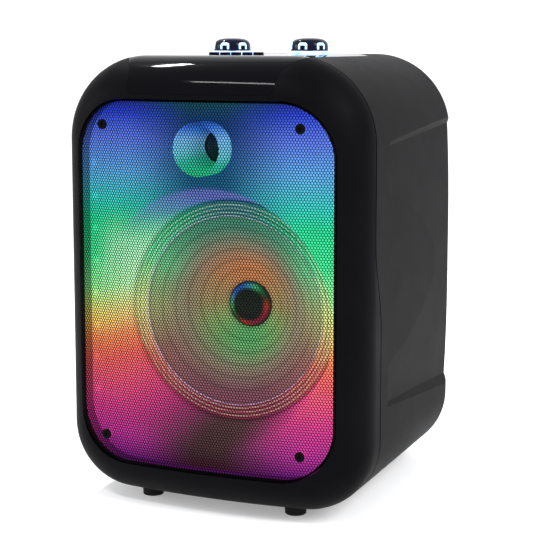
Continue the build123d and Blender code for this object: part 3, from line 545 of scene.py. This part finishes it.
def cone_glow(nodes):
    """Painted light for the colours that the strips throw on the cone: spectrum round the rim, other colours by the
    cap, with painted shade in rings round it.
    """
    radius, _, up = from_axis(nodes, WOOFER_Z)
    height = nodes.span(up, -1.0, 1.0, smooth=False)
    outer = nodes.ramp(height, [
        (0.00, srgb(116, 68, 84)), (0.25, srgb(140, 98, 90)), (0.50, srgb(148, 155, 104)),
        (0.75, srgb(96, 178, 124)), (0.94, srgb(66, 130, 104)), (1.00, srgb(56, 120, 98)),
    ])
    inner = nodes.ramp(height, [
        (0.00, srgb(82, 155, 92)), (0.25, srgb(118, 150, 90)), (0.50, srgb(142, 130, 86)),
        (0.75, srgb(155, 122, 82)), (1.00, srgb(176, 112, 70)),
    ])
    belt = srgb(130, 120, 100)
    colour = nodes.mix(nodes.span(radius, 0.034, 0.064), inner, belt)
    colour = nodes.mix(nodes.span(radius, 0.052, 0.082), colour, outer)
    # Dark rings of painted shade across the cone.
    rings = nodes.math("SINE", nodes.math("MULTIPLY", radius, math.tau / 0.0105))
    painted_ring_shade = nodes.math("MULTIPLY", nodes.span(rings, 0.55, 1.0), 0.22)
    return nodes.mix(painted_ring_shade, colour, (0.01, 0.01, 0.01, 1.0))


def rim_glow(nodes):
    """Painted light round the woofer's rim: a spectrum, with fine lines of painted highlight and painted shade round
    it and a painted lavender highlight at the inner edge.
    """
    radius, _, up = from_axis(nodes, WOOFER_Z)
    colour = nodes.ramp(nodes.span(up, -1.0, 1.0, smooth=False), [
        (0.00, srgb(120, 42, 62)), (0.07, srgb(140, 60, 78)), (0.25, srgb(196, 96, 84)),
        (0.50, srgb(196, 206, 122)), (0.75, srgb(85, 205, 140)), (0.93, srgb(34, 156, 114)),
        (1.00, srgb(44, 108, 116)),
    ])
    # Fine rings of painted highlight and painted shade.
    rings = nodes.math("SINE", nodes.math("MULTIPLY", radius, math.tau / 0.0036))
    pale = nodes.math("MULTIPLY", nodes.span(rings, 0.3, 1.0), 0.25)
    colour = nodes.mix(pale, colour, srgb(225, 225, 190))
    dark = nodes.math("MULTIPLY", nodes.span(rings, -0.5, -1.0), 0.45)
    colour = nodes.mix(dark, colour, (0.0, 0.0, 0.0, 1.0))
    # Painted lavender highlight at the surround's inner edge.
    edge = band(nodes, radius, 0.0868, 0.0882, 0.0005)
    return nodes.mix(nodes.math("MULTIPLY", edge, 0.7), colour, srgb(190, 165, 205))


def depth(value):
    """Y of a place this many millimetres behind the front of the woofer's ring."""
    return WOOFER_Y + value * MM


def bezel_plastic():
    """Black moulded plastic; the wall behind the grille glows with painted light in the strips' colours."""
    nodes = Nodes("bezel_with_painted_glow")
    x, y, z = nodes.position()
    sag = nodes.math("DIVIDE", nodes.math("POWER", x, 2), 2 * FRONT_BOW)
    behind = nodes.span(nodes.math("SUBTRACT", y, sag), FRONT_Y + 0.003, FRONT_Y + 0.010)
    half, tall = GRILLE_HIGH.x, (GRILLE_HIGH.z - GRILLE_LOW.z) / 2
    height = nodes.math("ABSOLUTE", nodes.math("SUBTRACT", z, (GRILLE_HIGH.z + GRILLE_LOW.z) / 2))
    across = nodes.math("SUBTRACT", nodes.math("ABSOLUTE", x), half - GRILLE_CORNER)
    across = nodes.math("MAXIMUM", across, 0.0)
    above = nodes.math("MAXIMUM", nodes.math("SUBTRACT", height, tall - GRILLE_CORNER), 0.0)
    squares = nodes.math("ADD", nodes.math("POWER", across, 2), nodes.math("POWER", above, 2))
    outside = nodes.span(nodes.math("SQRT", squares), GRILLE_CORNER + 0.0012, GRILLE_CORNER + 0.0022)
    # Painted light only on the wall behind the grille, not on the outside.
    lit = nodes.math("MULTIPLY", behind, nodes.math("SUBTRACT", 1.0, outside))
    nodes.link(edge_light(nodes, height_share(nodes, z)), nodes.shader.inputs["Emission Color"])
    nodes.link(nodes.math("MULTIPLY", lit, 0.6), nodes.shader.inputs["Emission Strength"])
    varied_colour(nodes, srgb(9, 9, 11), 0.12, 22)
    rough_range(nodes, 0.42, 0.50, 35)
    nodes.set(specular=0.02)
    nodes.bump(nodes.noise(7000, 2, 0.6), 0.35, 0.00003)
    return nodes.material


def cap_plastic():
    """Glossy dark cap with a painted reflection of the strips in a band round its rim: green and blue above left,
    red and violet below; a faint painted green glow elsewhere.
    """
    nodes = Nodes("cap_painted_reflection")
    radius, right, up = from_axis(nodes, WOOFER_Z)
    above = nodes.math("SUBTRACT", nodes.math("MULTIPLY", up, 0.8), nodes.math("MULTIPLY", right, 0.6))
    colour = nodes.ramp(nodes.span(above, -1.0, 1.0, smooth=False), [
        (0.00, srgb(150, 30, 70)), (0.18, srgb(190, 60, 50)), (0.38, srgb(70, 60, 40)),
        (0.58, srgb(30, 110, 60)), (0.78, srgb(70, 190, 120)), (0.92, srgb(60, 150, 190)),
        (1.00, srgb(40, 90, 190)),
    ])
    # Band round the rim that carries the painted reflection.
    rim = band(nodes, radius, 0.0160, 0.0195, 0.0025)
    nodes.link(nodes.mix(rim, srgb(24, 34, 28), colour), nodes.shader.inputs["Emission Color"])
    varied_colour(nodes, srgb(16, 18, 18), 0.1, 12)
    nodes.set(rough=0.3, specular=0.1, strength=1.1)
    nodes.bump(nodes.noise(60, 2), 0.05, 0.0002)
    return nodes.material


surround_material = lit_plastic("surround_glow", rim_glow)
cone_material = lit_plastic("cone_glow", cone_glow)
gasket_material = lit_plastic("gasket_glow", rim_glow)

ridge_count = 3
ridge_steps = 8                         # points across one ridge
ridge_height = 0.0022
surround_inner, surround_outer = 0.0868, 0.0962
surround_thickness = 0.0006
front_side = []
for step in range(ridge_count * ridge_steps + 1):
    share = step / (ridge_count * ridge_steps)
    wave = abs(math.sin(math.pi * ridge_count * share))
    front_side.append((surround_inner + (surround_outer - surround_inner) * share, depth(2.2) - ridge_height * wave))
back_side = [(radius, y + surround_thickness) for radius, y in reversed(front_side)]
vertices, faces = lathe(front_side + back_side, WOOFER_Z)
make_object("surround_rolls", vertices, faces, surround_material, "enclosure",
            ("woofer_surround",), sharp=50)

# Shallow flared cone with two raised rings and a glued lip at its edge
cone_thickness = 1.1
cone_outer, cone_inner = 84.6, 21.5     # radii between which the cone slopes
cone_fall = 38.5
cone_front = [(87.6, 2.2), (87.6, 0.8), (86.4, 0.6), (85.4, 2.0)]
cone_sections = 30
for step in range(cone_sections + 1):
    share = step / cone_sections
    radius = cone_outer - (cone_outer - cone_inner) * share
    sink = 3.0 + cone_fall * share**1.12
    ring = 0.7 * math.exp(-((radius - 70) / 1.6) ** 2) + 0.6 * math.exp(-((radius - 58) / 1.4) ** 2)
    cone_front.append((radius, sink - ring))
cone_back = [(radius, sink + cone_thickness) for radius, sink in reversed(cone_front[4:])] + [(85.6, 4.0)]
cone_profile = [(radius * MM, depth(sink)) for radius, sink in cone_front + cone_back]
vertices, faces = lathe(cone_profile, WOOFER_Z)
make_object("cone_body", vertices, faces, cone_material, "cone_assembly", ("woofer_cone",), sharp=30)

# ---------------------------------------------------------------- finishes of the carried-over pieces

bezel = bezel_plastic()
cabinet = moulded_plastic("cabinet_finish", srgb(16, 16, 17), (0.42, 0.46), 0.015, 5200, 0.00005, 0.03)
panel = gloss_plastic("panel_finish", srgb(5, 5, 8), 0.06, 0.06)
black_steel = moulded_plastic("black_steel", srgb(5, 5, 6), (0.4, 0.5), 0.04)
zinc = plain_metal("zinc", srgb(170, 170, 172))
# The baffle and horn glow with painted light; the strip boards and LED lenses glow as the lamps.
strip_lit = lit_plastic("strip_glow", baffle_glow)
lens = lit_plastic("lens_glow", baffle_glow, 1.3 * GLOW)
baffle = lit_plastic("baffle_painted_glow", baffle_glow)
horn = lit_plastic("horn_painted_glow", horn_glow)
basket = moulded_plastic("basket_paint", srgb(32, 32, 34), (0.3, 0.45), 0.5)
cap = cap_plastic()
copper = plain_metal("copper", srgb(190, 110, 70), (0.2, 0.35), (1, 60, 1))
resin_cloth = cloth_like("resin_cloth", srgb(160, 125, 70), 0.0009)
ferrite = moulded_plastic("ferrite", srgb(48, 48, 50), (0.5, 0.7), 0.4, 900, 0.0001)
film = gloss_plastic("film", srgb(20, 22, 34), 0.2, 0.5)
driver_black = moulded_plastic("driver_black", srgb(36, 36, 38))
knob = gloss_plastic("knob_finish", srgb(9, 12, 34), 0.10, 0.12, 0.05)
window = lit_window("window_glow", srgb(120, 190, 255), srgb(205, 235, 255), 1.6)
ring = lit_window("ring_glow", srgb(120, 165, 255), srgb(200, 225, 255), 1.5)
encoder = plain_metal("encoder_metal", srgb(170, 170, 168))
key = moulded_plastic("key_finish", srgb(10, 10, 13), (0.35, 0.5), 0.06)
switch = moulded_plastic("switch_finish", srgb(24, 24, 25), (0.3, 0.42), 0.4)
board = gloss_plastic("board_finish", srgb(22, 92, 52), 0.3, 0.5)
rear = moulded_plastic("rear_finish", srgb(27, 27, 28), (0.5, 0.65), 0.3, 3500, 0.00006)
socket = gloss_plastic("socket_finish", srgb(22, 22, 23), 0.2, 0.5)
bright = plain_metal("usb_bright", srgb(215, 215, 216), (0.12, 0.25))
aluminium = plain_metal("sink_metal", srgb(180, 180, 182), (0.3, 0.45), (1, 1, 30))
sleeve = gloss_plastic("sleeve_finish", srgb(36, 76, 150), 0.3, 0.5)
rubber = moulded_plastic("foot_rubber", srgb(24, 24, 25), (0.7, 0.85), 0.15, 2500, 0.00008)

FINISH = {
    "bezel_plastic": bezel, "cabinet_plastic": cabinet, "gloss_panel": panel, "grille_metal": grille_paint,
    "black_screws": black_steel, "baffle_plastic": baffle, "strip_board": strip_lit, "led_lens": lens,
    # The gasket and plain screws take the rim's painted glow.
    "basket_metal": basket, "gasket_foam": gasket_material, "plain_screws": gasket_material,
    "surround_cloth": surround_material, "cone_pulp": cone_material, "cap_gloss": cap, "coil_copper": copper,
    "spider_cloth": resin_cloth, "plate_steel": zinc, "magnet_ferrite": ferrite, "diaphragm_film": film,
    "driver_plastic": driver_black, "knob_gloss": knob, "knob_light": window, "ring_light": ring,
    "encoder_metal": encoder, "button_plastic": key, "switch_plastic": switch, "circuit_board": board,
    "rear_plate": rear, "socket_plastic": socket, "usb_metal": bright, "sink_aluminium": aluminium,
    "battery_wrap": sleeve, "foot_rubber": rubber,
}
for entry in frame["record"]["subparts"]:
    node = frame["nodes"][entry["node"]]
    finish_for = horn if entry["node"] == "tweeter_horn" else FINISH[entry["material_slot"]]
    for place in node.material_slots:
        place.material = finish_for

# ---------------------------------------------------------------- floor, light and camera

def stage_material():
    nodes = Nodes("studio_white")
    varied_colour(nodes, srgb(238, 238, 239), 0.01, 0.6)
    nodes.link(nodes.ramp(nodes.noise(0.8), [(0.3, (0.98,) * 3 + (1,)), (0.7, (1.0,) * 3 + (1,))]),
               nodes.shader.inputs["Emission Color"])
    nodes.set(rough=0.8, specular=0.1, strength=0.30)
    return nodes.material


def studio_floor():
    """A wide pale floor that curves up into a wall far behind."""
    profile = [(-6.0, 0.0), (2.5, 0.0)]
    for step in range(1, 13):
        angle = math.radians(90 * step / 12)
        profile.append((2.5 + 1.2 * math.sin(angle), 1.2 - 1.2 * math.cos(angle)))
    profile.append((3.7, 6.0))
    vertices, faces = [], []
    for y, z in profile:
        vertices += [(-8.0, y, z), (8.0, y, z)]
    for index in range(len(profile) - 1):
        faces.append((2 * index, 2 * index + 1, 2 * index + 3, 2 * index + 2))
    mesh = bpy.data.meshes.new("studio_floor")
    mesh.from_pydata(vertices, [], faces)
    mesh.materials.append(stage_material())
    mesh.shade_smooth()
    floor = bpy.data.objects.new("studio_floor", mesh)
    bpy.context.scene.collection.objects.link(floor)


def softbox(name, place, target, width, height, power, colour=(1, 1, 1)):
    light = bpy.data.lights.new(name, "AREA")
    light.shape = "RECTANGLE"
    light.size, light.size_y = width, height
    light.energy = power
    light.color = colour
    lamp = bpy.data.objects.new(name, light)
    lamp.location = place
    lamp.rotation_euler = (Vector(target) - Vector(place)).to_track_quat("-Z", "Y").to_euler()
    bpy.context.scene.collection.objects.link(lamp)
    return lamp


studio_floor()
middle = (0, 0, 0.21)
softbox("key_right", (2.2, -0.6, 1.9), middle, 1.4, 1.4, 60)
softbox("fill_left", (-2.4, -1.0, 0.9), middle, 1.0, 1.0, 18)
softbox("top_strip", (-0.80, 0.3, 1.7), middle, 0.25, 0.05, 12)
softbox("front_strip", (-0.45, -1.35, 2.0), (0, -0.13, 0.4), 1.15, 0.05, 16)

world = bpy.data.worlds.new("studio")
world.use_nodes = True
world.node_tree.nodes["Background"].inputs["Color"].default_value = (0.93, 0.94, 0.96, 1)
world.node_tree.nodes["Background"].inputs["Strength"].default_value = 0.9
bpy.context.scene.world = world
bpy.context.scene.view_settings.view_transform = "Standard"

camera_data = bpy.data.cameras.new("camera")
camera_data.lens = 93.15
camera_data.sensor_width = 36
camera_data.shift_y = -0.10
camera = bpy.data.objects.new("camera", camera_data)
camera.location = (0.5416, -1.2356, 0.4188)
camera.rotation_euler = Vector((-0.3907, 0.9122, -0.1235)).to_track_quat("-Z", "Y").to_euler()
bpy.context.scene.collection.objects.link(camera)
bpy.context.scene.camera = camera
